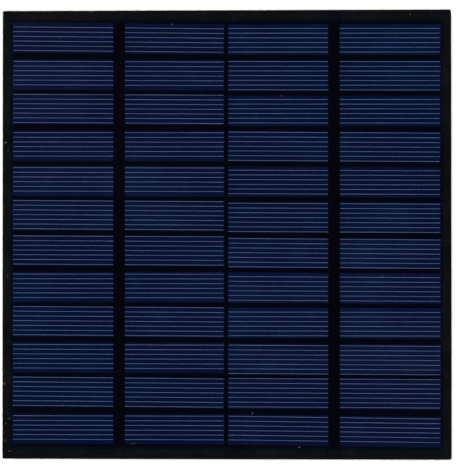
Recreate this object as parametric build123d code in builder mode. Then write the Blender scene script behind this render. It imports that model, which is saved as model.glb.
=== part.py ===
"""A small laminated solar panel: 24 crystalline silicon strips in two strings on a circuit board.

The panel lies on its back. X runs across the two strings, Y runs along them, and Z points out
of the sunny side. The origin is the centre of the back face. All sizes are in millimetres.

From the back upwards: solder mask, copper, glass-epoxy core, copper, solder mask, encapsulant,
cells with their ribbons and cover tapes, encapsulant, clear film.
"""

from build123d import *
import os

os.makedirs("parts", exist_ok=True)

# Outline
panel_width = 145.0
panel_length = 145.0
corner_radius = 0.5

# Circuit board
core_thickness = 1.6
copper_thickness = 0.035
mask_cover = 0.04  # solder mask over copper
tin_thickness = 0.03  # solder coat on bare copper

# Laminate
back_encapsulant_thickness = 0.4
front_encapsulant_thickness = 0.42  # above the wafers
film_thickness = 0.22

# Cells
cell_rows = 12
left_margin = 3.3
right_margin = 3.5
top_margin = 4.5
bottom_margin = 4.7
column_gap = 1.2
row_gap = 1.65
wafer_thickness = 0.18
paste_thickness = 0.03  # aluminium and silver printed on the back
grid_thickness = 0.02  # silver printed on the front
finger_pitch = 1.52
finger_width = 0.12
finger_end_gap = 0.2  # bare silicon past a finger's end
finger_edge_gap = 0.12  # a finger nearer than this to the lower edge was cut away

# Ribbons and the black tapes over them
ribbon_width = 2.0
ribbon_thickness = 0.15
ribbon_shift = {"left": 0.25, "right": -0.05}  # sideways, from the middle of the cells
busbar_inset = 0.1  # the printed busbar is narrower than its ribbon by this on each side
contact_overhang = 0.2  # the back contact is wider than its ribbon by this on each side
ribbon_end_gap = 0.6  # from a ribbon's end to the cell edge that it runs towards
ribbon_bend_gap = 0.15  # from a cell's edge to the bend beside it
tape_overlap = 0.85  # tape past each side of its ribbon
tape_thickness = 0.06
tape_end_gap = 0.6  # from a tape's end to the board's edge

# Landings, where the end ribbons of a string are soldered to the board
landing_edge_gap = 0.7  # from a landing's copper to the board's edge
landing_foot = 2.0  # flat length of ribbon on the landing
window_margin = 0.2  # bare solder round the foot
mask_overlap = 0.2  # solder mask over the rim of a copper pad
via_radius = 0.25
via_wall = 0.05
via_rim = 0.1  # from the outer vias to the window's side
vias_per_landing = 3

# Terminals on the back
terminal_width = 5.0
terminal_length = 8.0
terminal_corner = 0.5
terminal_spacing = 16.0
terminal_edge_distance = 14.0  # from the board's top edge to the middle of the terminals
trace_width = 2.4
mark_size = 4.0
mark_stroke = 0.9
mark_gap = 3.0  # from a terminal's bare edge to its polarity mark

# How each strip was cut and laid, from the top row down: the distance from its upper edge to
# its first finger, how far it slid up or down, and its small turn in degrees
first_finger = {
    "left": (1.5, 0.6, 0.2, 0.6, 0.6, 0.2, 0.25, 0.75, 0.15, 0.75, 0.25, 0.7),
    "right": (1.35, 0.4, 1.2, 0.4, 1.2, 0.45, 0.4, 1.35, 1.4, 0.5, 0.1, 0.6),
}
cell_slide = {
    "left": (0.35, -0.05, 0.3, -0.1, 0.0, 0.3, 0.4, 0.15, 0.35, 0.25, 0.5, 0.15),
    "right": (-0.2, -0.4, -0.35, -0.4, -0.35, -0.35, -0.4, -0.2, 0.0, -0.25, 0.1, -0.35),
}
cell_turn = {
    "left": (-0.7, -0.35, -0.4, -0.15, -0.2, -0.4, -0.3, -0.05, -0.35, -0.15, -0.45, -0.05),
    "right": (-0.15, -0.2, -0.15, -0.4, -0.25, -0.3, -0.45, -0.3, -0.1, -0.3, -0.25, -0.65),
}

# The cells fill what the margins and gaps leave
sides = ("left", "right")
rows = range(cell_rows)
cell_length = (panel_width - left_margin - right_margin - column_gap) / 2
cells_top = panel_length / 2 - top_margin
cells_bottom = -panel_length / 2 + bottom_margin
cell_height = (cells_top - cells_bottom - (cell_rows - 1) * row_gap) / cell_rows
column_x = {
    "left": left_margin + cell_length / 2 - panel_width / 2,
    "right": panel_width / 2 - right_margin - cell_length / 2,
}
ribbon_x = {side: column_x[side] + ribbon_shift[side] for side in sides}

# Heights, from the back face up
mask_thickness = mask_cover + copper_thickness
core_bottom = mask_thickness
core_top = core_bottom + core_thickness
board_top = core_top + mask_thickness
paste_bottom = board_top + back_encapsulant_thickness
wafer_bottom = paste_bottom + paste_thickness
wafer_top = wafer_bottom + wafer_thickness
grid_top = wafer_top + grid_thickness
film_bottom = wafer_top + front_encapsulant_thickness

# Sizes that follow the ribbon
busbar_width = ribbon_width - 2 * busbar_inset
contact_width = ribbon_width + 2 * contact_overhang
tape_width = ribbon_width + 2 * tape_overlap
window_width = ribbon_width + 2 * window_margin
window_length = landing_foot + 2 * window_margin
landing_width = window_width + 2 * mask_overlap
landing_length = window_length + 2 * mask_overlap

# Places on the board
landing_reach = panel_length / 2 - landing_edge_gap - landing_length / 2
landing_y = {"top": landing_reach, "bottom": -landing_reach}
landings = [(ribbon_x[side], y) for y in landing_y.values() for side in sides]
via_reach = window_width / 2 - via_rim - via_radius
via_pitch = 2 * via_reach / (vias_per_landing - 1)
via_steps = [n * via_pitch - via_reach for n in range(vias_per_landing)]
via_places = [(x + step, y) for x, y in landings for step in via_steps]
terminal_y = panel_length / 2 - terminal_edge_distance
terminal_x = {"left": -terminal_spacing / 2, "right": terminal_spacing / 2}
mark_shift = terminal_spacing / 2 + terminal_width / 2 + mark_gap + mark_size / 2


def cell_y(side, row):
    """The middle of a cell, its row counted from the top."""
    slides = cell_slide[side]
    evenly = cells_top - cell_height / 2 - row * (cell_height + row_gap)
    return evenly + slides[row % len(slides)]


def cell_plane(side, row, height):
    """A cell's own plane: its centre, turned as the cell is laid."""
    turns = cell_turn[side]
    centre = (column_x[side], cell_y(side, row), height)
    return Plane(Location(centre, (0, 0, turns[row % len(turns)])))


def finger_places(side, row):
    """Where the fingers cross a cell, from its upper edge down."""
    offsets = first_finger[side]
    y = cell_height / 2 - offsets[row % len(offsets)]
    places = []
    while y > finger_edge_gap - cell_height / 2:
        places.append((0, y))
        y -= finger_pitch
    return places


def save(part, name):
    part.label = name
    export_step(part, f"parts/{name}.step")


# ---- Circuit board ----


def draw_outline():
    RectangleRounded(panel_width, panel_length, corner_radius)


def draw_landings(width, length, places=landings):
    with Locations(*places):
        Rectangle(width, length)


def draw_vias(radius, mode=Mode.ADD):
    with Locations(*via_places):
        Circle(radius, mode=mode)


def draw_terminal(side, margin=0):
    with Locations((terminal_x[side], terminal_y)):
        RectangleRounded(
            terminal_width + 2 * margin, terminal_length + 2 * margin, terminal_corner
        )


def draw_mark(side):
    """A minus on the right, and a plus on the left."""
    x = mark_shift if side == "right" else -mark_shift
    with Locations((x, terminal_y)):
        Rectangle(mark_size, mark_stroke)
        if side == "left":
            Rectangle(mark_stroke, mark_size)


def draw_terminal_trace(side):
    """From a string's top landing along the margin, then down to the terminal."""
    x, y = ribbon_x[side], landing_y["top"]
    draw_landings(landing_width, landing_length, [(x, y)])
    with Locations(((x + terminal_x[side]) / 2, y)):
        SlotCenterToCenter(abs(x - terminal_x[side]), trace_width)
    with Locations((terminal_x[side], (y + terminal_y) / 2)):
        SlotCenterToCenter(y - terminal_y, trace_width, rotation=90)
    draw_terminal(side, mask_overlap)


def draw_link_trace():
    """Between the strings' bottom landings."""
    y = landing_y["bottom"]
    draw_landings(landing_width, landing_length, [(x, y) for x in ribbon_x.values()])
    with Locations(((ribbon_x["left"] + ribbon_x["right"]) / 2, y)):
        SlotCenterToCenter(ribbon_x["right"] - ribbon_x["left"], trace_width)


with BuildPart() as board_core:
    with BuildSketch(Plane.XY.offset(core_bottom)):
        draw_outline()
    extrude(amount=core_thickness)
    with Locations(*[(x, y, core_top) for x, y in via_places]):
        Hole(via_radius)
save(board_core.part, "board_core")

with BuildPart() as landing_pads:
    with BuildSketch(Plane.XY.offset(core_top)):
        draw_landings(landing_width, landing_length)
        draw_vias(via_radius, Mode.SUBTRACT)
    extrude(amount=copper_thickness)
save(landing_pads.part, "landing_pads")

with BuildPart() as front_solder_mask:
    with BuildSketch(Plane.XY.offset(core_top)):
        draw_outline()
    extrude(amount=mask_thickness)
    with BuildSketch(Plane.XY.offset(core_top)):
        draw_landings(landing_width, landing_length)
    extrude(amount=copper_thickness, mode=Mode.SUBTRACT)
    with BuildSketch(Plane.XY.offset(core_top)):
        draw_landings(window_width, window_length)
    extrude(amount=mask_thickness, mode=Mode.SUBTRACT)
save(front_solder_mask.part, "front_solder_mask")

# Solder under each ribbon's foot, level with the mask
with BuildPart() as landing_solder:
    with BuildSketch(Plane.XY.offset(core_top + copper_thickness)):
        draw_landings(window_width, window_length)
    extrude(amount=mask_cover)
save(landing_solder.part, "landing_solder")

barrel_length = core_thickness + 2 * copper_thickness
with BuildPart() as via_barrels:
    with BuildSketch(Plane.XY.offset(mask_cover)):
        draw_vias(via_radius)
        draw_vias(via_radius - via_wall, Mode.SUBTRACT)
    extrude(amount=barrel_length)
save(via_barrels.part, "via_barrels")

with BuildPart() as via_solder_fills:
    with BuildSketch(Plane.XY.offset(mask_cover)):
        draw_vias(via_radius - via_wall)
    extrude(amount=barrel_length)
save(via_solder_fills.part, "via_solder_fills")

for side, pole in (("left", "positive"), ("right", "negative")):
    with BuildPart() as terminal_trace:
        with BuildSketch(Plane.XY.offset(mask_cover)):
            draw_terminal_trace(side)
            draw_vias(via_radius, Mode.SUBTRACT)
        extrude(amount=copper_thickness)
    save(terminal_trace.part, f"{pole}_trace")

    # Solder coat on the bare copper, a little below the mask's face
    with BuildPart() as terminal_pad:
        with BuildSketch(Plane.XY.offset(mask_cover - tin_thickness)):
            draw_terminal(side)
        extrude(amount=tin_thickness)
    save(terminal_pad.part, f"{pole}_terminal_pad")

    # Etched in the copper and tinned
    with BuildPart() as polarity_mark:
        with BuildSketch(Plane.XY.offset(mask_cover - tin_thickness)):
            draw_mark(side)
        extrude(amount=tin_thickness + copper_thickness)
    save(polarity_mark.part, f"{pole}_mark")

with BuildPart() as string_link_trace:
    with BuildSketch(Plane.XY.offset(mask_cover)):
        draw_link_trace()
        draw_vias(via_radius, Mode.SUBTRACT)
    extrude(amount=copper_thickness)
save(string_link_trace.part, "string_link_trace")

with BuildPart() as back_solder_mask:
    with BuildSketch():
        draw_outline()
    extrude(amount=mask_thickness)
    with BuildSketch(Plane.XY.offset(mask_cover)):
        draw_terminal_trace("left")
        draw_terminal_trace("right")
        draw_link_trace()
    extrude(amount=copper_thickness, mode=Mode.SUBTRACT)
    with BuildSketch():
        for side in sides:
            draw_terminal(side)
            draw_mark(side)
    extrude(amount=mask_thickness, mode=Mode.SUBTRACT)
save(back_solder_mask.part, "back_solder_mask")


# ---- Cells ----

for side in sides:
    for row in rows:
        with BuildPart() as wafer:
            with BuildSketch(cell_plane(side, row, wafer_bottom)):
                Rectangle(cell_length, cell_height)
            extrude(amount=wafer_thickness)
        save(wafer.part, f"cell_{side}_{row + 1:02d}")

    # Busbar and fingers, printed as one silver comb on each cell
    with BuildPart() as silver_grids:
        for row in rows:
            with BuildSketch(cell_plane(side, row, wafer_top)):
                with Locations((ribbon_shift[side], 0)):
                    Rectangle(busbar_width, cell_height)
                with Locations(*finger_places(side, row)):
                    Rectangle(cell_length - 2 * finger_end_gap, finger_width)
            extrude(amount=grid_thickness)
    save(silver_grids.part, f"{side}_silver_grids")

    with BuildPart() as back_contacts:
        for row in rows:
            with BuildSketch(cell_plane(side, row, paste_bottom)):
                with Locations((ribbon_shift[side], 0)):
                    Rectangle(contact_width, cell_height)
            extrude(amount=paste_thickness)
    save(back_contacts.part, f"{side}_back_contacts")

    with BuildPart() as aluminium_backs:
        for row in rows:
            with BuildSketch(cell_plane(side, row, paste_bottom)):
                Rectangle(cell_length, cell_height)
                with Locations((ribbon_shift[side], 0)):
                    Rectangle(contact_width, cell_height, mode=Mode.SUBTRACT)
            extrude(amount=paste_thickness)
    save(aluminium_backs.part, f"{side}_aluminium_backs")


# ---- Ribbons ----
# A run is a list of (y, underside) points. In both columns a ribbon leaves the front of one
# cell and ends under the next: downwards in the left column, upwards in the right one.


def front_run(side, row, towards):
    """Along a cell's front, up to the bend past the edge that it leaves over."""
    y, half = cell_y(side, row), cell_height / 2
    return [
        (y - towards * (half - ribbon_end_gap), grid_top),
        (y + towards * (half + ribbon_bend_gap), grid_top),
    ]


def back_run(side, row, towards):
    """Along a cell's back, from the bend before the edge that it comes in under."""
    y, half = cell_y(side, row), cell_height / 2
    under = paste_bottom - ribbon_thickness
    return [
        (y - towards * (half + ribbon_bend_gap), under),
        (y + towards * (half - ribbon_end_gap), under),
    ]


def foot_run(end):
    """Along a landing, outwards."""
    outwards = 1 if end == "top" else -1
    return [
        (landing_y[end] - outwards * landing_foot / 2, board_top),
        (landing_y[end] + outwards * landing_foot / 2, board_top),
    ]


def draw_ribbon(run):
    """A ribbon seen from its side."""
    upper = [(y, z + ribbon_thickness) for y, z in reversed(run)]
    Polygon(*run, *upper, align=None)


string_runs = {
    "left": [front_run("left", row, -1) + back_run("left", row + 1, -1) for row in rows[:-1]],
    "right": [front_run("right", row + 1, 1) + back_run("right", row, 1) for row in rows[:-1]],
}
end_runs = {
    "positive_end_ribbon": ("left", back_run("left", 0, -1)[::-1] + foot_run("top")),
    "negative_end_ribbon": ("right", front_run("right", 0, 1) + foot_run("top")),
    "left_link_ribbon": ("left", front_run("left", cell_rows - 1, -1) + foot_run("bottom")),
    "right_link_ribbon": (
        "right",
        back_run("right", cell_rows - 1, 1)[::-1] + foot_run("bottom"),
    ),
}
all_ribbons = []

for side in sides:
    with BuildPart() as string_ribbons:
        for run in string_runs[side]:
            with BuildSketch(Plane.YZ.offset(ribbon_x[side])):
                draw_ribbon(run)
            extrude(amount=ribbon_width / 2, both=True)
    save(string_ribbons.part, f"{side}_string_ribbons")
    all_ribbons.append(string_ribbons.part)

for name, (side, run) in end_runs.items():
    with BuildPart() as end_ribbon:
        with BuildSketch(Plane.YZ.offset(ribbon_x[side])):
            draw_ribbon(run)
        extrude(amount=ribbon_width / 2, both=True)
    save(end_ribbon.part, name)
    all_ribbons.append(end_ribbon.part)


# ---- Cover tapes ----


def draw_tape():
    """A tape and its adhesive seen from the end, arched over the ribbon's channel."""
    edge, shoulder = tape_width / 2, ribbon_width / 2
    crown = ribbon_thickness + tape_thickness
    Polygon(
        (-edge, 0),
        (edge, 0),
        (edge, tape_thickness),
        (shoulder, crown),
        (-shoulder, crown),
        (-edge, tape_thickness),
        align=None,
    )
    with Locations((0, ribbon_thickness / 2)):
        Rectangle(ribbon_width, ribbon_thickness, mode=Mode.SUBTRACT)


cover_tapes = []
for side in sides:
    with BuildPart() as cover_tape:
        centre = (ribbon_x[side], 0, grid_top)
        with BuildSketch(Plane(origin=centre, x_dir=(1, 0, 0), z_dir=(0, -1, 0))):
            draw_tape()
        extrude(amount=panel_length / 2 - tape_end_gap, both=True)
    save(cover_tape.part, f"{side}_cover_tape")
    cover_tapes.append(cover_tape.part)


# ---- Laminate ----

with BuildPart() as back_encapsulant:
    with BuildSketch(Plane.XY.offset(board_top)):
        draw_outline()
    extrude(amount=back_encapsulant_thickness)
    add(all_ribbons, mode=Mode.SUBTRACT)
save(back_encapsulant.part, "back_encapsulant")

# Moulded round each cell to the height of its silver grid, and round the ribbons and tapes
with BuildPart() as front_encapsulant:
    with BuildSketch(Plane.XY.offset(paste_bottom)):
        draw_outline()
    extrude(amount=film_bottom - paste_bottom)
    for side in sides:
        for row in rows:
            with BuildSketch(cell_plane(side, row, paste_bottom)):
                Rectangle(cell_length, cell_height)
            extrude(amount=grid_top - paste_bottom, mode=Mode.SUBTRACT)
    add(all_ribbons + cover_tapes, mode=Mode.SUBTRACT)
save(front_encapsulant.part, "front_encapsulant")

with BuildPart() as front_film:
    with BuildSketch(Plane.XY.offset(film_bottom)):
        draw_outline()
    extrude(amount=film_thickness)
save(front_film.part, "front_film")
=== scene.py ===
import math
import random
import bmesh
import bpy
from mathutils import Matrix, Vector, noise


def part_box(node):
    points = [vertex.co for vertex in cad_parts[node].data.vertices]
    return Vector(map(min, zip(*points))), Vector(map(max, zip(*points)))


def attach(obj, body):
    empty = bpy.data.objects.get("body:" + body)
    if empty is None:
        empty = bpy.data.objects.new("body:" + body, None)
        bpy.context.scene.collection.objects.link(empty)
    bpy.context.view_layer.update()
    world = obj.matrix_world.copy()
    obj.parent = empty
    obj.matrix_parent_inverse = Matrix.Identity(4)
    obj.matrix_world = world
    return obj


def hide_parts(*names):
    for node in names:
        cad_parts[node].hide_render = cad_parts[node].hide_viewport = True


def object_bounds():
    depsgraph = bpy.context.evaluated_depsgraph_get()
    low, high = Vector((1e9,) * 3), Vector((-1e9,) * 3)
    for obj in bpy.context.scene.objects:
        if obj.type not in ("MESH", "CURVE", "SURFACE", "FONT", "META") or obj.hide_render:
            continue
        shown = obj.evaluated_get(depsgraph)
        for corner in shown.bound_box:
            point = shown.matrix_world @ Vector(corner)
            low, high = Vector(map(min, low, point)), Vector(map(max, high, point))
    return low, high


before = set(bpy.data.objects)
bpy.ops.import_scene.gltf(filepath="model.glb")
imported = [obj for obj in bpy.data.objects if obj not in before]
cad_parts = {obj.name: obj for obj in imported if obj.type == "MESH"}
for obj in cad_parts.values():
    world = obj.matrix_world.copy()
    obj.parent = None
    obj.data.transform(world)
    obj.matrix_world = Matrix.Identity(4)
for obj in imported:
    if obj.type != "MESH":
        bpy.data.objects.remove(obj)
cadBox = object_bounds()
mm = 0.001
hair = 0.001 * mm  # points nearer than this count as one place
print("frame loaded,", len(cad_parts), "CAD nodes")

outline = {
    "cornerRadius": 0.5 * mm,
    "wornRadius": 1.0 * mm,  # the corner at +X and +Y, a little worn
}
panelHalf = (cadBox[1][0], cadBox[1][1])
sides = ("left", "right")
rowNames = sorted(name[-2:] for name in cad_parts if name.startswith("cell_left_"))
cellBoxes = {
    side: [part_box(f"cell_{side}_{rowName}") for rowName in rowNames]
    for side in sides
}
cellCorners = [corner for boxes in cellBoxes.values() for box in boxes for corner in box]
cellArea = (
    Vector((min(corner.x for corner in cellCorners), min(corner.y for corner in cellCorners))),
    Vector((max(corner.x for corner in cellCorners), max(corner.y for corner in cellCorners))),
)


def makeMaterial(name):
    material = bpy.data.materials.new(name)
    material.use_nodes = True
    material.node_tree.nodes.clear()
    return material


def addNode(material, kind, values=None, **settings):
    node = material.node_tree.nodes.new(kind)
    for key, value in settings.items():
        setattr(node, key, value)
    for key, value in (values or {}).items():
        node.inputs[key].default_value = value
    return node


def connect(material, output, target):
    material.node_tree.links.new(output, target)


def finishWith(material, shader):
    output = addNode(material, "ShaderNodeOutputMaterial")
    connect(material, shader, output.inputs["Surface"])
    return material


def millimetres(material, stretch=(1, 1, 1), shift=(0, 0, 0)):  # object coordinates in millimetres
    where = addNode(material, "ShaderNodeTexCoord")
    scale = [value / mm for value in stretch]
    mapping = addNode(material, "ShaderNodeMapping", {"Scale": scale, "Location": shift})
    connect(material, where.outputs["Object"], mapping.inputs["Vector"])
    return mapping.outputs["Vector"]


def splitAxes(material, place):
    split = addNode(material, "ShaderNodeSeparateXYZ")
    connect(material, place, split.inputs[0])
    return split.outputs


def splitChannels(material, colour):
    split = addNode(material, "ShaderNodeSeparateColor")
    connect(material, colour, split.inputs["Color"])
    return split.outputs


def noisePattern(material, place, scale, detail=3, distortion=0.0):
    pattern = addNode(
        material, "ShaderNodeTexNoise",
        {"Scale": scale, "Detail": detail, "Distortion": distortion},
    )
    connect(material, place, pattern.inputs["Vector"])
    return pattern.outputs["Fac"]


def grainPattern(material, place, scale):  # one random value for each crystal grain
    cells = addNode(material, "ShaderNodeTexVoronoi", {"Scale": scale}, voronoi_dimensions="2D")
    connect(material, place, cells.inputs["Vector"])
    return splitChannels(material, cells.outputs["Color"])["Red"]


def combine(material, operation, first, second=0.0):
    step = addNode(material, "ShaderNodeMath", operation=operation)
    for socket, value in zip(step.inputs, (first, second)):
        if isinstance(value, (int, float)):
            socket.default_value = value
        else:
            connect(material, value, socket)
    return step.outputs[0]


def spread(material, value, low, high, newLow, newHigh):  # stretch a value to a new range
    ranges = addNode(
        material, "ShaderNodeMapRange",
        {"From Min": low, "From Max": high, "To Min": newLow, "To Max": newHigh},
    )
    connect(material, value, ranges.inputs["Value"])
    return ranges.outputs["Result"]


def colours(material, value, stops):  # stops: (place, (r, g, b))
    ramp = addNode(material, "ShaderNodeValToRGB")
    bands = ramp.color_ramp.elements
    while len(bands) < len(stops):
        bands.new(0.5)
    for band, (place, colour) in zip(bands, stops):
        band.position = place
        band.color = (*colour, 1)
    connect(material, value, ramp.inputs["Fac"])
    return ramp.outputs["Color"]


def blendColours(material, share, first, second):
    blend = addNode(material, "ShaderNodeMix", data_type="RGBA")
    connect(material, share, blend.inputs["Factor"])
    connect(material, first, blend.inputs[6])  # the node's colour sockets, A and B
    connect(material, second, blend.inputs[7])
    return blend.outputs[2]


def weighted(material, pairs):  # the sum of values, each times its share
    terms = [combine(material, "MULTIPLY", value, share) for value, share in pairs]
    total = terms[0]
    for term in terms[1:]:
        total = combine(material, "ADD", total, term)
    return total


def mixShaders(material, share, first, second):
    mixed = addNode(material, "ShaderNodeMixShader")
    connect(material, share, mixed.inputs["Fac"])
    connect(material, first, mixed.inputs[1])
    connect(material, second, mixed.inputs[2])
    return mixed.outputs[0]


def bumpFrom(material, height, distance, strength=1.0):
    bump = addNode(material, "ShaderNodeBump", {"Distance": distance, "Strength": strength})
    connect(material, height, bump.inputs["Height"])
    return bump.outputs["Normal"]


def solidFinish(material, colour, roughness, values, normal=None):
    shader = addNode(material, "ShaderNodeBsdfPrincipled", values)
    for value, name in ((colour, "Base Color"), (roughness, "Roughness"), (normal, "Normal")):
        if value is not None:
            connect(material, value, shader.inputs[name])
    return shader.outputs["BSDF"]


silicon = {
    "largeGrains": 0.11,  # pattern scales are per millimetre
    "smallGrains": 0.34,
    "grainBend": 2.2,  # how far the grain boundaries wander, in millimetres
    "cloudScale": 0.03,
    "streakScale": 0.7,
    # scale of the large noise that moves the painted reflection tint about the panel
    "reflectionDriftScale": 0.045,
    "throw": 7.0,  # another value gives every strip another tint
    "paleFrom": (0.48, 1.08),
    "bluer": [
        (0.0, (0.0001, 0.0032, 0.0176)),
        (0.5, (0.0002, 0.0042, 0.0218)),
        (1.0, (0.0004, 0.0072, 0.0288)),
    ],
    "purpler": [
        (0.0, (0.0016, 0.0030, 0.0176)),
        (0.5, (0.0020, 0.0036, 0.0212)),
        (1.0, (0.0027, 0.0061, 0.0272)),
    ],
    "reflectionTintReach": 2600,  # x times y, in square millimetres, where the painted reflection tint is full
    "paintedReflectionTint": (0.8, 0.1),
}


def stripTints(material, place):  # random values for each strip of silicon: how pale, how purple
    lefts = cellBoxes["left"]
    pitch = (lefts[0][0].y - lefts[-1][0].y) / (len(lefts) - 1)
    axes = splitAxes(material, place)
    down = combine(material, "SUBTRACT", (cellArea[1].y + pitch / 20) / mm, axes["Y"])
    row = combine(material, "FLOOR", combine(material, "DIVIDE", down, pitch / mm))
    column = combine(material, "GREATER_THAN", axes["X"])
    joined = addNode(material, "ShaderNodeCombineXYZ", {"Z": silicon["throw"]})
    connect(material, row, joined.inputs["X"])
    connect(material, column, joined.inputs["Y"])
    dice = addNode(material, "ShaderNodeTexWhiteNoise", noise_dimensions="3D")
    connect(material, joined.outputs[0], dice.inputs["Vector"])
    throws = splitChannels(material, dice.outputs["Color"])
    return throws["Red"], throws["Green"]


def siliconFinish():
    material = makeMaterial("silicon")
    place = millimetres(material)
    bent = addNode(material, "ShaderNodeVectorMath", {"Scale": silicon["grainBend"]}, operation="SCALE")
    wander = addNode(material, "ShaderNodeTexNoise", {"Scale": 0.25, "Detail": 2})
    connect(material, place, wander.inputs["Vector"])
    connect(material, wander.outputs["Color"], bent.inputs[0])
    warped = addNode(material, "ShaderNodeVectorMath", operation="ADD")
    connect(material, place, warped.inputs[0])
    connect(material, bent.outputs[0], warped.inputs[1])
    large = grainPattern(material, warped.outputs[0], silicon["largeGrains"])
    small = grainPattern(material, warped.outputs[0], silicon["smallGrains"])
    clouds = noisePattern(material, place, silicon["cloudScale"], 2)
    streaks = noisePattern(material, millimetres(material, (1, 0.12, 1)), silicon["streakScale"], 3)
    pale, purple = stripTints(material, place)
    parts = weighted(material, [
        (large, 0.16), (small, 0.08), (clouds, 0.85), (streaks, 0.25), (pale, 0.25),
    ])
    paleness = spread(material, parts, *silicon["paleFrom"], 0, 1)
    bluer = colours(material, paleness, silicon["bluer"])
    purpler = colours(material, paleness, silicon["purpler"])
    axes = splitAxes(material, place)
    corners = combine(material, "MULTIPLY", axes["X"], axes["Y"])  # purpler towards two opposite corners: a painted reflection tint
    reach = silicon["reflectionTintReach"]
    share = spread(material, corners, -reach, reach, *silicon["paintedReflectionTint"])
    # a large noise moves the painted reflection tint about the panel
    reflectionDrift = noisePattern(material, millimetres(material, shift=(31, 17, 0)), silicon["reflectionDriftScale"], 2)
    for value, swing in ((reflectionDrift, 0.7), (purple, 0.25)):
        around = combine(material, "MULTIPLY", combine(material, "SUBTRACT", value, 0.5), swing)
        share = combine(material, "ADD", share, around)
    colour = blendColours(material, share, bluer, purpler)
    rough = spread(material, small, 0, 1, 0.32, 0.5)
    shader = solidFinish(material, colour, rough, {"Specular IOR Level": 0.0})
    return finishWith(material, shader)


def gridFinish():  # fired silver paste of the fingers and busbars, its dark blue a painted reflection
    material = makeMaterial("silverGrid")
    along = noisePattern(material, millimetres(material, (0.05, 0.66, 1)), 1.0, 2)
    # dark blue in place of the silver's grey: painted reflection
    colour = colours(material, along, [
        (0.3, (0.062, 0.087, 0.170)),
        (0.5, (0.073, 0.101, 0.194)),
        (0.7, (0.088, 0.119, 0.222)),
    ])
    grains = noisePattern(material, millimetres(material), 30, 2)
    rough = spread(material, grains, 0.3, 0.7, 0.42, 0.6)
    values = {"Metallic": 0.1, "Specular IOR Level": 0.0}
    shader = solidFinish(material, colour, rough, values, bumpFrom(material, grains, 0.002 * mm))
    return finishWith(material, shader)


def metalFinish(name, dark, light, roughness, grain, metallic=1.0):
    material = makeMaterial(name)
    place = millimetres(material)
    cloud = noisePattern(material, place, grain, 4, 0.4)
    fine = noisePattern(material, place, grain * 8, 2)
    colour = colours(material, cloud, [(0.3, dark), (0.7, light)])
    rough = spread(material, fine, 0.3, 0.7, roughness - 0.08, roughness + 0.1)
    normal = bumpFrom(material, cloud, 0.01 * mm, 0.6)
    shader = solidFinish(material, colour, rough, {"Metallic": metallic}, normal)
    return finishWith(material, shader)


def marginShare(material, place):  # 0 among the cells, 1 in the panel's margins
    axes = splitAxes(material, place)
    outside = []
    for axis in (0, 1):
        middle = (cellArea[0][axis] + cellArea[1][axis]) / 2 / mm
        half = (cellArea[1][axis] - cellArea[0][axis]) / 2 / mm
        away = combine(material, "ABSOLUTE", combine(material, "SUBTRACT", axes[axis], middle))
        outside.append(combine(material, "SUBTRACT", away, half))
    return spread(material, combine(material, "MAXIMUM", *outside), -0.3, 1.2, 0, 1)


def tapeFinish():
    material = makeMaterial("coverTape")
    place = millimetres(material)
    cloud = noisePattern(material, place, 0.12, 3)
    fine = noisePattern(material, place, 9, 2)
    cellsTone = colours(material, cloud, [(0.3, (0.0004, 0.0005, 0.0016)), (0.7, (0.0007, 0.0009, 0.0023))])
    # lighter in the margins, like the mask beside it
    marginTone = colours(material, cloud, [(0.3, (0.0018, 0.0022, 0.0036)), (0.7, (0.0030, 0.0037, 0.0054))])
    colour = blendColours(material, marginShare(material, place), cellsTone, marginTone)
    rough = spread(material, fine, 0.3, 0.7, 0.5, 0.7)
    shader = solidFinish(
        material, colour, rough, {"Specular IOR Level": 0.0}, bumpFrom(material, fine, 0.003 * mm)
    )
    return finishWith(material, shader)


def frontMaskFinish():  # solder mask seen through the laminate, lighter in the margins
    material = makeMaterial("frontMask")
    place = millimetres(material)
    cloud = noisePattern(material, place, 0.07, 4, 0.6)
    scuffs = noisePattern(material, millimetres(material, (1, 0.35, 1)), 0.6, 4, 1.0)
    fine = noisePattern(material, place, 5, 3)
    mixed = weighted(material, [(cloud, 0.6), (scuffs, 0.4)])
    inside = colours(material, mixed, [(0.3, (0.0002, 0.0006, 0.0022)), (0.7, (0.0005, 0.0012, 0.0038))])
    margin = colours(material, mixed, [
        (0.34, (0.0016, 0.0018, 0.0024)),
        (0.5, (0.0027, 0.0031, 0.0039)),
        (0.66, (0.0048, 0.0053, 0.0062)),
    ])
    colour = blendColours(material, marginShare(material, place), inside, margin)
    rough = spread(material, fine, 0.3, 0.7, 0.45, 0.6)
    shader = solidFinish(
        material, colour, rough, {"Specular IOR Level": 0.0}, bumpFrom(material, fine, 0.004 * mm)
    )
    return finishWith(material, shader)


def maskFinish(name, dark, light, roughness, specular):  # solder mask over the board's glass weave
    material = makeMaterial(name)
    place = millimetres(material)
    cloud = noisePattern(material, place, 0.05, 3)
    fine = noisePattern(material, place, 5, 3)
    mixed = combine(material, "ADD", cloud, spread(material, fine, 0.3, 0.7, -0.08, 0.08))
    colour = colours(material, mixed, [(0.3, dark), (0.7, light)])
    weaves = []
    for direction in ("X", "Y"):
        threads = addNode(material, "ShaderNodeTexWave", {"Scale": 0.5, "Distortion": 1.2},
                          bands_direction=direction)
        connect(material, place, threads.inputs["Vector"])
        weaves.append(threads.outputs["Fac"])
    weave = combine(material, "MULTIPLY", *weaves)
    height = combine(material, "ADD", weave, fine)
    rough = spread(material, fine, 0.3, 0.7, roughness - 0.06, roughness + 0.08)
    shader = solidFinish(
        material, colour, rough, {"Specular IOR Level": specular}, bumpFrom(material, height, 0.004 * mm)
    )
    return finishWith(material, shader)


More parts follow.
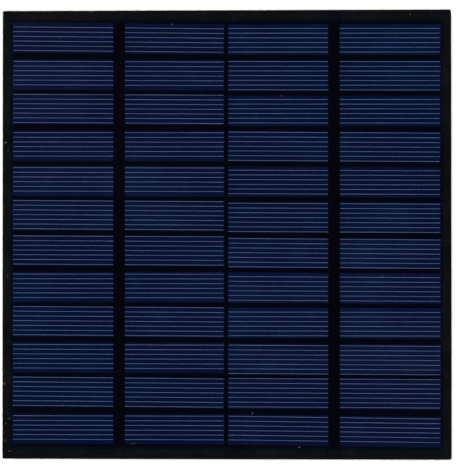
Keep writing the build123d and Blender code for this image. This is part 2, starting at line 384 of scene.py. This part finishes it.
def coreFinish():  # sawn edge of the glass-epoxy: plies of cloth in amber resin
    material = makeMaterial("glassEpoxy")
    plies = addNode(material, "ShaderNodeTexWave", {"Scale": 1.6, "Distortion": 3.5, "Detail": 3},
                    bands_direction="Z")
    connect(material, millimetres(material, (0.3, 0.3, 1)), plies.inputs["Vector"])
    fibres = noisePattern(material, millimetres(material, (2.5, 2.5, 12)), 1.0, 5)
    chips = noisePattern(material, millimetres(material), 4.0, 4)
    mixed = weighted(material, [(plies.outputs["Fac"], 0.28), (fibres, 0.42), (chips, 0.3)])
    colour = colours(material, mixed, [
        (0.2, (0.16, 0.13, 0.062)),
        (0.5, (0.34, 0.30, 0.17)),
        (0.8, (0.55, 0.52, 0.36)),
    ])
    rough = spread(material, fibres, 0.3, 0.7, 0.55, 0.8)
    shader = solidFinish(
        material, colour, rough, {"Specular IOR Level": 0.35}, bumpFrom(material, mixed, 0.03 * mm)
    )
    return finishWith(material, shader)


def mirrorShare(material, normal, headOn):  # Schlick's curve, the same from both sides of a sheet
    facing = addNode(material, "ShaderNodeLayerWeight", {"Blend": 0.5})
    connect(material, normal, facing.inputs["Normal"])
    steep = combine(material, "POWER", facing.outputs["Facing"], 5.0)
    return combine(material, "ADD", combine(material, "MULTIPLY", steep, 1 - headOn), headOn)


def clearFinish(name, haze, hazeColour, headOn=None, roughness=0.1):
    # light goes through, with a little haze; headOn is how much an outer face mirrors straight on
    material = makeMaterial(name)
    through = addNode(material, "ShaderNodeBsdfTransparent")
    cloudy = addNode(material, "ShaderNodeBsdfDiffuse", {"Color": (*hazeColour, 1)})
    scuffs = noisePattern(material, millimetres(material, (1, 0.3, 1)), 0.35, 5, 0.8)
    share = spread(material, scuffs, 0.35, 0.8, haze * 0.5, haze * 1.8)
    body = mixShaders(material, share, through.outputs[0], cloudy.outputs[0])
    if headOn is None:
        return finishWith(material, body)
    waves = noisePattern(material, millimetres(material), 0.5, 2)
    normal = bumpFrom(material, waves, 0.004 * mm)
    shine = addNode(material, "ShaderNodeBsdfAnisotropic", {"Color": (1, 1, 1, 1), "Roughness": roughness})
    connect(material, normal, shine.inputs["Normal"])
    mirror = mirrorShare(material, normal, headOn)
    return finishWith(material, mixShaders(material, mirror, body, shine.outputs[0]))


def cutEdgeFinish(name, tint, cover):  # knife-cut edge of a clear sheet, streaked by the blade
    material = makeMaterial(name)
    streaks = noisePattern(material, millimetres(material, (2, 2, 0.4)), 2.0, 4)
    grains = noisePattern(material, millimetres(material), 12, 2)
    body = solidFinish(
        material, None, spread(material, grains, 0.3, 0.7, 0.25, 0.45),
        {"Base Color": (*tint, 1), "Specular IOR Level": 0.5},
        bumpFrom(material, streaks, 0.02 * mm),
    )
    through = addNode(material, "ShaderNodeBsdfTransparent")
    share = spread(material, streaks, 0.3, 0.7, cover * 0.6, cover * 1.3)
    return finishWith(material, mixShaders(material, share, through.outputs[0], body))


def dustFinish():
    material = makeMaterial("dust")
    cloud = noisePattern(material, millimetres(material), 3, 3)
    colour = colours(material, cloud, [(0.3, (0.05, 0.055, 0.065)), (0.7, (0.12, 0.13, 0.15))])
    return finishWith(material, solidFinish(material, colour, None, {"Roughness": 0.9}))


finishes = {
    "silicon": siliconFinish(),
    "silverGrid": gridFinish(),
    "coverTape": tapeFinish(),
    "frontMask": frontMaskFinish(),
    "backMask": maskFinish("backMask", (0.0050, 0.0055, 0.0065), (0.0085, 0.009, 0.0105), 0.34, 0.5),
    "maskOverCopper": maskFinish(
        "maskOverCopper", (0.0105, 0.0095, 0.0085), (0.0165, 0.0145, 0.0125), 0.27, 0.5
    ),
    "glassEpoxy": coreFinish(),
    "filmFace": clearFinish("filmFace", 0.0002, (0.8, 0.85, 0.95), headOn=0.04, roughness=0.075),
    "clearInside": clearFinish("clearInside", 0.00005, (0.8, 0.85, 0.9)),
    "filmEdge": cutEdgeFinish("filmEdge", (0.5, 0.53, 0.56), 0.35),
    "encapsulantEdge": cutEdgeFinish("encapsulantEdge", (0.42, 0.43, 0.42), 0.3),
    "copper": metalFinish("copper", (0.62, 0.27, 0.13), (0.82, 0.42, 0.24), 0.3, 0.8),
    "solder": metalFinish("solder", (0.42, 0.42, 0.43), (0.68, 0.68, 0.67), 0.28, 1.2),
    "tinnedPad": metalFinish("tinnedPad", (0.5, 0.5, 0.5), (0.74, 0.74, 0.72), 0.2, 0.9),
    "ribbon": metalFinish("ribbon", (0.48, 0.48, 0.48), (0.7, 0.7, 0.69), 0.3, 0.6),
    "backSilver": metalFinish("backSilver", (0.36, 0.36, 0.37), (0.5, 0.5, 0.51), 0.5, 2.0, 0.6),
    "aluminiumPaste": metalFinish("aluminiumPaste", (0.2, 0.2, 0.21), (0.32, 0.32, 0.33), 0.65, 3.0, 0.4),
    "dust": dustFinish(),
}
print("finishes made:", len(finishes))


keptNodes = {
    "frontMask": ["front_solder_mask"],
    "copper": ["landing_pads", "via_barrels", "positive_trace", "negative_trace", "string_link_trace"],
    "solder": ["landing_solder", "via_solder_fills"],
    "silverGrid": [f"{side}_silver_grids" for side in sides],
    "backSilver": [f"{side}_back_contacts" for side in sides],
    "aluminiumPaste": [f"{side}_aluminium_backs" for side in sides],
    "ribbon": [f"{side}_string_ribbons" for side in sides]
    + ["positive_end_ribbon", "negative_end_ribbon", "left_link_ribbon", "right_link_ribbon"],
}
for finishName, nodeNames in keptNodes.items():
    for nodeName in nodeNames:
        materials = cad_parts[nodeName].data.materials
        if not materials:
            materials.append(None)
        for index in range(len(materials)):
            materials[index] = finishes[finishName]
print("CAD nodes finished:", sum(len(names) for names in keptNodes.values()))


def finishPiece(name, bm, finishNames, stands=()):
    bmesh.ops.recalc_face_normals(bm, faces=bm.faces)
    mesh = bpy.data.meshes.new(name)
    bm.to_mesh(mesh)
    bm.free()
    for finishName in finishNames:
        mesh.materials.append(finishes[finishName])
    piece = bpy.data.objects.new(name, mesh)
    bpy.context.scene.collection.objects.link(piece)
    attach(piece, "root")
    if stands:
        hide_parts(*stands)


def joinFlatFaces(bm):
    bmesh.ops.dissolve_limit(bm, angle_limit=math.radians(1), verts=bm.verts, edges=bm.edges)


def cadCopy(nodeName):  # a merged copy of a CAD part, with its flat faces made whole
    bm = bmesh.new()
    bm.from_mesh(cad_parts[nodeName].data)
    bmesh.ops.remove_doubles(bm, verts=bm.verts, dist=hair / 2)
    joinFlatFaces(bm)
    return bm


def newItems(result, kind):
    return [item for item in result["geom"] if isinstance(item, kind)]


def cornerRadius(x, y):
    return outline["wornRadius" if x > 0 and y > 0 else "cornerRadius"]


def inwards(point):  # from a point on the outline, square to the edge, into the panel
    inner = [half - cornerRadius(point.x, point.y) for half in panelHalf]
    nearest = Vector((
        max(-inner[0], min(inner[0], point.x)),
        max(-inner[1], min(inner[1], point.y)),
        point.z,
    ))
    return (nearest - point).normalized()


def outlineFace(bm, z, spacing):  # the panel's outline as one face, its edges cut into short ones
    made = bmesh.ops.create_grid(bm, x_segments=1, y_segments=1, size=1)
    corners = made["verts"]
    for vert in corners:
        vert.co = Vector((vert.co.x * panelHalf[0], vert.co.y * panelHalf[1], z))
    for corner in list(corners):
        bmesh.ops.bevel(
            bm, geom=[corner], offset=cornerRadius(corner.co.x, corner.co.y), segments=6, profile=0.5,
            affect="VERTICES", material=-1,
        )
    straight = [edge for edge in bm.edges if edge.calc_length() > 2 * outline["wornRadius"]]
    bmesh.ops.subdivide_edges(bm, edges=straight, cuts=round(2 * panelHalf[0] / spacing))
    return list(bm.faces)


def plate(levels, spacing, wobble, seed):
    # levels: (z, inset) from the bottom up; wobble moves the cut edge inwards by up to this much
    bm = bmesh.new()
    top = outlineFace(bm, levels[0][0], spacing)
    rings = [(list(bm.verts), levels[0][1])]
    for z, inset in levels[1:]:
        made = bmesh.ops.extrude_face_region(bm, geom=top)
        if len(rings) > 1:
            bmesh.ops.delete(bm, geom=top, context="FACES_ONLY")  # only the lowest face is kept
        ring = newItems(made, bmesh.types.BMVert)
        for vert in ring:
            vert.co.z = z
        top = newItems(made, bmesh.types.BMFace)
        rings.append((ring, inset))
    for ring, inset in rings:
        for vert in ring:
            wave = noise.noise(Vector((vert.co.x, vert.co.y, vert.co.z)) * 400 + Vector((seed, 0, 0)))
            fine = noise.noise(Vector((vert.co.x, vert.co.y, vert.co.z * 6)) * 1900 + Vector((0, seed, 0)))
            vert.co += inwards(vert.co) * (inset + wobble * (1 + 0.6 * wave + 0.4 * fine) / 2)
    return bm


def evenLines(half, step):
    count = round(2 * half / step)
    return [-half + 2 * half * n / count for n in range(count + 1)]


def roundedSheet(bm, linesX, linesY, radiusAt, heightAt):  # a grid on these lines, its corners rounded
    bmesh.ops.create_grid(bm, x_segments=len(linesX) - 1, y_segments=len(linesY) - 1, size=1)
    for vert in bm.verts:
        x = linesX[round((vert.co.x + 1) / 2 * (len(linesX) - 1))]
        y = linesY[round((vert.co.y + 1) / 2 * (len(linesY) - 1))]
        height = heightAt(x, y)
        inner = (linesX[-1] - radiusAt(x, y), linesY[-1] - radiusAt(x, y))
        dx, dy = abs(x) - inner[0], abs(y) - inner[1]
        if dx > 0 and dy > 0:
            scale = max(dx, dy) / math.hypot(dx, dy)
            x = math.copysign(inner[0] + dx * scale, x)
            y = math.copysign(inner[1] + dy * scale, y)
        vert.co = Vector((x, y, height))


def thicken(bm, z):  # close a sheet with a flat face at this height
    made = bmesh.ops.extrude_face_region(bm, geom=list(bm.faces))
    for vert in newItems(made, bmesh.types.BMVert):
        vert.co.z = z
    bmesh.ops.recalc_face_normals(bm, faces=bm.faces)


board = {
    "plies": 8,  # glass cloth layers in the core
    "plyStep": 0.018 * mm,  # how far one ply's cut edge stands back from the next
    "plySlope": 0.1,  # share of a ply's thickness in the slope to the next
    "sawSpacing": 0.6 * mm,
    "sawWobble": 0.05 * mm,
    "sawSeed": 3.1,
    "maskSpacing": 1.0 * mm,
    "maskWobble": 0.02 * mm,
    "maskSeed": 7.7,
    "maskBevel": (0.02 * mm, 0.01 * mm),  # set back at the outer face, and how high that slope is
    "maskSkin": 0.035 * mm,  # outer face of the back mask, where there is no copper under it
    "traceFace": 0.010 * mm,  # outer face of the mask over a trace
    "traceRound": 0.012 * mm,
    "traceSunk": 0.02 * mm,  # how deep the relief reaches into the mask
    "padRim": 0.011 * mm,
    "padCrown": 0.001 * mm,  # lowest point of the solder on a terminal
    "padRound": 0.5 * mm,
    "padStep": 0.2 * mm,
    "signRim": 0.035 * mm,
    "signCrown": 0.008 * mm,
    "signSlope": 0.3 * mm,
    "signSteps": 3,
    "solderDepth": 0.03 * mm,
    "viaHole": 0.27 * mm,  # walls of the copper nearer than this to a via are its hole
    "viaRadius": 0.32 * mm,
    "viaRise": 0.005 * mm,
}


def makeCore():
    low, high = (corner.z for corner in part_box("board_core"))
    thickness = (high - low) / board["plies"]
    levels = []
    for ply in range(board["plies"]):
        setBack = board["plyStep"] * (ply % 2)
        levels.append((low + ply * thickness + board["plySlope"] * thickness, setBack))
        levels.append((low + (ply + 1) * thickness - board["plySlope"] * thickness, setBack))
    levels[0] = (low, levels[0][1])
    levels[-1] = (high, levels[-1][1])
    bm = plate(levels, board["sawSpacing"], board["sawWobble"], board["sawSeed"])
    finishPiece("coreBoard", bm, ["glassEpoxy"], ["board_core"])


def makeBackMask():
    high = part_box("back_solder_mask")[1].z
    setBack, slope = board["maskBevel"]
    levels = [(board["maskSkin"], setBack), (board["maskSkin"] + slope, 0), (high, 0)]
    bm = plate(levels, board["maskSpacing"], board["maskWobble"], board["maskSeed"])
    finishPiece("backMask", bm, ["backMask"], ["back_solder_mask"])


def viaPlaces():
    bm = cadCopy("via_solder_fills")
    places = [face.calc_center_median() for face in bm.faces if face.normal.z < -0.9]
    bm.free()
    return places


def makeTraceRelief(vias):  # the mask stands up over the copper, and over the vias it has small domes
    bm = bmesh.new()
    for nodeName in ("positive_trace", "negative_trace", "string_link_trace"):
        trace = cadCopy(nodeName)
        walls = [
            face for face in trace.faces
            if abs(face.normal.z) < 0.5
            and min((face.calc_center_median() - via).xy.length for via in vias) < board["viaHole"]
        ]
        bmesh.ops.delete(trace, geom=walls, context="FACES")
        bmesh.ops.holes_fill(trace, edges=[edge for edge in trace.edges if edge.is_boundary], sides=0)
        joinFlatFaces(trace)
        low = min(vert.co.z for vert in trace.verts)
        for vert in trace.verts:
            outer = vert.co.z < low + hair
            vert.co.z = board["traceFace"] if outer else board["maskSkin"] + board["traceSunk"]
        trace.normal_update()
        rim = [edge for edge in trace.edges if any(face.normal.z < -0.9 for face in edge.link_faces)]
        bmesh.ops.bevel(
            trace, geom=rim, offset=board["traceRound"], segments=2, profile=0.5,
            affect="EDGES", material=-1, clamp_overlap=True,
        )
        scratch = bpy.data.meshes.new("scratch")
        trace.to_mesh(scratch)
        trace.free()
        bm.from_mesh(scratch)
        bpy.data.meshes.remove(scratch)
    for via in vias:
        made = bmesh.ops.create_uvsphere(bm, u_segments=20, v_segments=8, radius=board["viaRadius"])
        for vert in made["verts"]:
            vert.co.z *= 2 * board["viaRise"] / board["viaRadius"]
            vert.co += Vector((via.x, via.y, board["traceFace"] + board["viaRise"]))
    finishPiece("traceRelief", bm, ["maskOverCopper"])


def makePad(pole):  # solder domed by its own surface, a little fuller towards one end
    low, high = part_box(f"{pole}_terminal_pad")
    middle = (low + high) / 2
    half = (high - low) / 2
    linesX = evenLines(half.x, board["padStep"])
    linesY = evenLines(half.y, board["padStep"])

    def solderHeight(x, y):
        full = (1 - abs(x / half.x) ** 3) * (1 - abs(y / half.y) ** 4)
        full *= 0.9 + 0.1 * math.sin(y / half.y * 2)
        return board["padRim"] + (board["padCrown"] - board["padRim"]) * max(0, full) ** 0.6

    bm = bmesh.new()
    roundedSheet(bm, linesX, linesY, lambda x, y: board["padRound"], solderHeight)
    thicken(bm, board["padRim"] + board["solderDepth"])
    bmesh.ops.translate(bm, vec=(middle.x, middle.y, 0), verts=bm.verts)
    for face in bm.faces:
        face.smooth = face.normal.z < -0.5
    finishPiece(f"{pole}Pad", bm, ["tinnedPad"], [f"{pole}_terminal_pad"])


def makeSign(pole):
    bm = cadCopy(f"{pole}_mark")
    low = min(vert.co.z for vert in bm.verts)
    for vert in bm.verts:
        vert.co.z = board["signRim"] + (board["solderDepth"] if vert.co.z > low + hair else 0)
    bm.normal_update()
    front = [face for face in bm.faces if face.normal.z < -0.9]
    for step in range(board["signSteps"]):
        share = (step + 1) / board["signSteps"]
        bmesh.ops.inset_region(
            bm, faces=front, thickness=board["signSlope"] / board["signSteps"], use_even_offset=True
        )
        height = board["signRim"] + (board["signCrown"] - board["signRim"]) * math.sin(share * math.pi / 2)
        for vert in {vert for face in front for vert in face.verts}:
            vert.co.z = height
    for face in bm.faces:
        face.smooth = face.normal.z < -0.5
    finishPiece(f"{pole}Sign", bm, ["tinnedPad"], [f"{pole}_mark"])


makeCore()
makeBackMask()
vias = viaPlaces()
makeTraceRelief(vias)
for pole in ("positive", "negative"):
    makePad(pole)
    makeSign(pole)
print("board made, vias:", len(vias))


cell = {
    "cutsAlong": 64,
    "cutsAcross": 9,
    "raggedness": 0.018 * mm,  # usual roughness of a snapped edge
    "chipDepth": 0.09 * mm,
    "chipChance": 0.035,
    "chipStep": 0.05 * mm,  # corners nearer than this along an edge move together
}


def cutAcross(bm, direction, cuts):
    edges = [
        edge for edge in bm.edges
        if abs((edge.verts[1].co - edge.verts[0].co).normalized().dot(direction)) > 0.99
    ]
    bmesh.ops.subdivide_edges(bm, edges=edges, cuts=cuts, use_grid_fill=True)


def makeWafer(side, rowName, rng):
    nodeName = f"cell_{side}_{rowName}"
    bm = cadCopy(nodeName)
    longEdge = max(bm.edges, key=lambda edge: edge.calc_length())
    along = (longEdge.verts[1].co - longEdge.verts[0].co).normalized()
    across = Vector((-along.y, along.x, 0))
    centre = sum((vert.co for vert in bm.verts), Vector()) / len(bm.verts)
    halfLong = max(abs((vert.co - centre).dot(along)) for vert in bm.verts)
    halfShort = max(abs((vert.co - centre).dot(across)) for vert in bm.verts)
    cutAcross(bm, along, cell["cutsAlong"])
    cutAcross(bm, across, cell["cutsAcross"])
    moves = {}
    for vert in bm.verts:
        local = vert.co - centre
        if local.z < 0:
            continue  # only the top edge is chipped
        for direction, half in ((along, halfLong), (across, halfShort)):
            reach = local.dot(direction)
            if abs(reach) < half - hair:
                continue
            other = across if direction is along else along
            key = (direction is along, reach > 0, round(local.dot(other) / cell["chipStep"]))
            if key not in moves:
                chipped = rng.random() < cell["chipChance"]
                moves[key] = rng.random() * (cell["chipDepth"] if chipped else cell["raggedness"])
            vert.co -= direction * math.copysign(moves[key], reach)
    finishPiece(f"wafer{side.capitalize()}{rowName}", bm, ["silicon"], [nodeName])


chips = random.Random(12)
for side in sides:
    for rowName in rowNames:
        makeWafer(side, rowName, chips)
print("wafers made")


tape = {
    "acrossLines": 10,
    "alongLines": 260,
    "thickness": 0.05 * mm,
    "edgeWander": 0.06 * mm,
    "edgeHeight": 0.06 * mm,  # top of the tape's long edges above its lowest point
    "sag": 0.05 * mm,  # into the gap between two cells
    "sagReach": 0.9 * mm,
    "flatTop": 2.0 * mm,  # as wide as the ribbon
}


def gapCentres(side):
    boxes = cellBoxes[side]
    return [(upper[0].y + lower[1].y) / 2 for upper, lower in zip(boxes, boxes[1:])]


def bump(distance, width):  # 1 at the middle, smoothly down to 0 at this distance
    if distance >= width:
        return 0
    return 0.5 + 0.5 * math.cos(math.pi * distance / width)


def makeTape(side):
    nodeName = f"{side}_cover_tape"
    low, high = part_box(nodeName)
    middle = (low + high) / 2
    half = (high - low) / 2
    gaps = gapCentres(side)
    edgeTop = low.z + tape["edgeHeight"]
    bm = bmesh.new()
    bmesh.ops.create_grid(bm, x_segments=tape["acrossLines"], y_segments=tape["alongLines"], size=1)
    for vert in bm.verts:
        x, y = vert.co.x * half.x, vert.co.y * half.y
        wander = noise.noise(Vector((math.copysign(3, x), y * 60, middle.x * 100))) - 1  # only inwards
        rise = max(0, min(1, (half.x - abs(x)) / (half.x - tape["flatTop"] / 2)))
        rise = rise * rise * (3 - 2 * rise)
        sag = sum(bump(abs(y - gap), tape["sagReach"]) for gap in gaps)
        sag *= tape["sag"] * (1 - 0.6 * rise)
        height = edgeTop + (high.z - edgeTop) * rise - sag
        x += math.copysign(tape["edgeWander"] * wander / 2, x) * (abs(x) / half.x) ** 2
        vert.co = Vector((middle.x + x, middle.y + y, height))
    bmesh.ops.recalc_face_normals(bm, faces=bm.faces)
    made = bmesh.ops.extrude_face_region(bm, geom=list(bm.faces))
    for vert in newItems(made, bmesh.types.BMVert):
        vert.co.z -= tape["thickness"]
    for face in bm.faces:
        face.smooth = True
    finishPiece(f"{side}Tape", bm, ["coverTape"], [nodeName])


for side in sides:
    makeTape(side)
print("tapes laid")


laminate = {
    "clearance": 0.004 * mm,
    "cutSpacing": 0.9 * mm,
    "cutWobble": 0.09 * mm,
    "cutSeed": 9.1,
    "cutInsets": (0, 0.02 * mm, 0.03 * mm, 0.01 * mm),  # from the bottom of the cut edge up
    "filmTop": 2.972 * mm,  # height of the face away from tapes, gaps and edges
    "tapeRise": 0.016 * mm,  # how the tapes and gaps print through the film
    "tapeSkirt": 0.5 * mm,
    "gapDip": 0.008 * mm,
    "gapReach": 1.1 * mm,
    "middleReach": 1.0 * mm,
    "marginDip": 0.012 * mm,
    "marginSlope": 1.6 * mm,
    "edgeDrop": 0.03 * mm,
    "edgeWidth": 0.2 * mm,
    "waves": 0.005 * mm,
    "step": 1.1 * mm,
    "edgeLines": (0.05 * mm, 0.12 * mm, 0.2 * mm, 0.45 * mm, 0.7 * mm),  # finer lines along the edge
}


def makeEncapsulant():  # both sheets, fused into one by the laminating
    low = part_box("back_encapsulant")[0].z - laminate["clearance"]  # just inside the solder mask
    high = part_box("front_encapsulant")[1].z - laminate["clearance"]
    third = (high - low) / 3
    levels = list(zip((low, low + third, high - third, high), laminate["cutInsets"]))
    bm = plate(levels, laminate["cutSpacing"], laminate["cutWobble"], laminate["cutSeed"])
    bm.normal_update()
    for face in bm.faces:
        face.material_index = 1 if abs(face.normal.z) < 0.6 else 0  # the cut edge has its own finish
    stands = ["back_encapsulant", "front_encapsulant"]
    finishPiece("encapsulant", bm, ["clearInside", "encapsulantEdge"], stands)


def gridLines(half, extra):
    lines = evenLines(half, laminate["step"])
    for place in extra:
        lines = [line for line in lines if abs(line - place) > 0.3 * laminate["step"] or abs(line) == half]
    lines += extra
    for inset in laminate["edgeLines"]:
        lines += [half - inset, inset - half]
    return sorted(set(lines))


def filmHeight(x, y, gaps, tapeBoxes):
    height = laminate["filmTop"]
    toEdge = min(panelHalf[0] - abs(x), panelHalf[1] - abs(y))
    for low, high in tapeBoxes:
        middle = (low.x + high.x) / 2
        height += laminate["tapeRise"] * bump(abs(x - middle), high.x - middle + laminate["tapeSkirt"])
    inside = min(x - cellArea[0].x, cellArea[1].x - x, y - cellArea[0].y, cellArea[1].y - y)
    beside = max(0, min(1, 0.5 - inside / laminate["marginSlope"]))
    height -= laminate["marginDip"] * beside * beside * (3 - 2 * beside)
    if inside > 0:
        height -= laminate["gapDip"] * sum(bump(abs(y - gap), laminate["gapReach"]) for gap in gaps[x < 0])
        height -= laminate["gapDip"] * bump(abs(x), laminate["middleReach"])
    if toEdge < laminate["edgeWidth"]:
        height -= laminate["edgeDrop"] * (1 - toEdge / laminate["edgeWidth"]) ** 2
    return height + laminate["waves"] * noise.noise(Vector((x, y, 0)) * 90)


def makeFilm():
    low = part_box("front_film")[0].z + laminate["clearance"]
    gaps = {True: gapCentres("left"), False: gapCentres("right")}
    tapeBoxes = [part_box(f"{side}_cover_tape") for side in sides]
    linesX = gridLines(panelHalf[0], [x for box in tapeBoxes for x in (box[0].x, box[1].x)] + [0.0])
    linesY = gridLines(panelHalf[1], gaps[True])
    bm = bmesh.new()
    roundedSheet(
        bm, linesX, linesY, cornerRadius,
        lambda x, y: filmHeight(x, y, gaps, tapeBoxes),
    )
    thicken(bm, low)
    for face in bm.faces:
        face.smooth = face.normal.z > 0.5
        if face.normal.z < -0.5:
            face.material_index = 1
        elif face.normal.z < 0.5:
            face.material_index = 2
            for edge in face.edges:
                edge.smooth = False
    finishPiece("filmSheet", bm, ["filmFace", "clearInside", "filmEdge"], ["front_film"])


makeEncapsulant()
makeFilm()
print("laminate made")


dust = {
    "top": 2.998 * mm,
    "thickness": 0.02 * mm,
    "marks": [  # x, y, length, width in millimetres, and turn in degrees
        (-71.4, 29.8, 0.7, 0.4, 20),
        (-70.6, 27.4, 0.9, 0.12, 70),
        (-70.8, -13.2, 0.5, 0.2, 50),
        (-71.7, -48.2, 0.7, 0.35, 10),
        (-70.2, -59.4, 1.6, 0.1, 15),
        (-71.2, -61.0, 0.8, 0.12, 80),
        (-71.5, -66.6, 0.9, 0.14, 60),
        (-70.0, -69.9, 1.3, 0.12, 170),
        (59.1, 71.0, 0.9, 0.12, 130),
        (50.1, -13.7, 0.6, 0.3, 90),
        (-53.9, 63.9, 1.2, 0.12, 80),
        (-30.1, -67.4, 1.6, 0.12, 20),
        (-53.0, -55.2, 0.5, 0.3, 120),
        (8.4, -57.6, 0.6, 0.3, 70),
        (23.5, -68.5, 0.7, 0.25, 15),
        (17.8, 44.7, 0.9, 0.12, 165),
        (-17.6, 67.9, 0.5, 0.3, 10),
    ],
}


def makeDust():
    bm = bmesh.new()
    shape = random.Random(5)
    for x, y, length, width, turn in dust["marks"]:
        made = bmesh.ops.create_icosphere(bm, subdivisions=2, radius=0.5)
        angle = math.radians(turn)
        for vert in made["verts"]:
            rough = 0.75 + 0.25 * shape.random()
            a, b = vert.co.x * length * rough * mm, vert.co.y * width * rough * mm
            vert.co = Vector((
                x * mm + a * math.cos(angle) - b * math.sin(angle),
                y * mm + a * math.sin(angle) + b * math.cos(angle),
                dust["top"] + (vert.co.z - 0.5) * dust["thickness"],
            ))
    finishPiece("dustMarks", bm, ["dust"])


makeDust()
print("dust laid")


studio = {
    "floorHalf": 1.5,
    "cameraHeight": 0.8,
    "aim": (2.81 * mm, -0.16 * mm),  # the point of the panel's face that the camera looks at
    "tilt": (0.64, 1.8),  # degrees about X and about Y from straight down
    "viewWidth": 151.48 * mm,
    "sensor": 36.0,  # millimetres, as Blender counts lenses
    "lightDistance": 0.85,
    "lightHeight": 1.45,
    "lightSize": 0.8,
    "lightPower": 12.2,
    "lightTurns": (35, 125, 215, 305),
    "lightShares": (0.85, 1.15, 1.0, 1.0),
}


def makeFloor():
    bm = bmesh.new()
    bmesh.ops.create_grid(bm, x_segments=8, y_segments=8, size=studio["floorHalf"])
    mesh = bpy.data.meshes.new("floor")
    bm.to_mesh(mesh)
    bm.free()
    material = makeMaterial("floorPaint")
    place = millimetres(material)
    cloud = noisePattern(material, place, 0.01, 2)
    colour = colours(material, cloud, [(0.3, (0.92, 0.92, 0.925)), (0.7, (0.935, 0.935, 0.94))])
    shader = solidFinish(material, colour, None, {"Roughness": 0.9, "Specular IOR Level": 0.1})
    mesh.materials.append(finishWith(material, shader))
    floor = bpy.data.objects.new("floor", mesh)
    bpy.context.scene.collection.objects.link(floor)


def makeLights():
    for number, (turn, share) in enumerate(zip(studio["lightTurns"], studio["lightShares"])):
        lamp = bpy.data.lights.new(f"softbox{number}", "AREA")
        lamp.shape = "SQUARE"
        lamp.size = studio["lightSize"]
        lamp.energy = studio["lightPower"] * share
        light = bpy.data.objects.new(f"softbox{number}", lamp)
        angle = math.radians(turn)
        place = Vector((
            studio["lightDistance"] * math.cos(angle),
            studio["lightDistance"] * math.sin(angle),
            studio["lightHeight"],
        ))
        light.location = place
        light.rotation_euler = (-place).to_track_quat("-Z", "Y").to_euler()
        bpy.context.scene.collection.objects.link(light)


def makeWorld():  # pale near the horizon, dark overhead, so that the film mirrors little
    world = bpy.data.worlds.new("studioWorld")
    world.use_nodes = True
    world.node_tree.nodes.clear()
    where = addNode(world, "ShaderNodeTexCoord")
    upwards = splitAxes(world, where.outputs["Generated"])["Z"]
    sky = colours(world, upwards, [
        (0.0, (0.82, 0.83, 0.85)),
        (0.35, (0.2, 0.205, 0.22)),
        (0.75, (0.010, 0.0105, 0.012)),
    ])
    background = addNode(world, "ShaderNodeBackground")
    output = addNode(world, "ShaderNodeOutputWorld")
    connect(world, sky, background.inputs["Color"])
    connect(world, background.outputs[0], output.inputs["Surface"])
    bpy.context.scene.world = world


def makeCamera():
    lens = bpy.data.cameras.new("camera")
    lens.sensor_width = studio["sensor"]
    top = cadBox[1][2]
    lens.lens = studio["sensor"] * (studio["cameraHeight"] - top) / studio["viewWidth"]
    lens.clip_start = 0.01
    lens.clip_end = 20
    camera = bpy.data.objects.new("camera", lens)
    camera.rotation_euler = (math.radians(studio["tilt"][0]), math.radians(studio["tilt"][1]), 0)
    backwards = camera.rotation_euler.to_matrix() @ Vector((0, 0, 1))
    camera.location = Vector((*studio["aim"], top)) + backwards * (studio["cameraHeight"] - top)
    bpy.context.scene.collection.objects.link(camera)
    bpy.context.scene.camera = camera


makeFloor()
makeLights()
makeWorld()
makeCamera()
bpy.context.scene.view_settings.view_transform = "Standard"
print("studio ready")
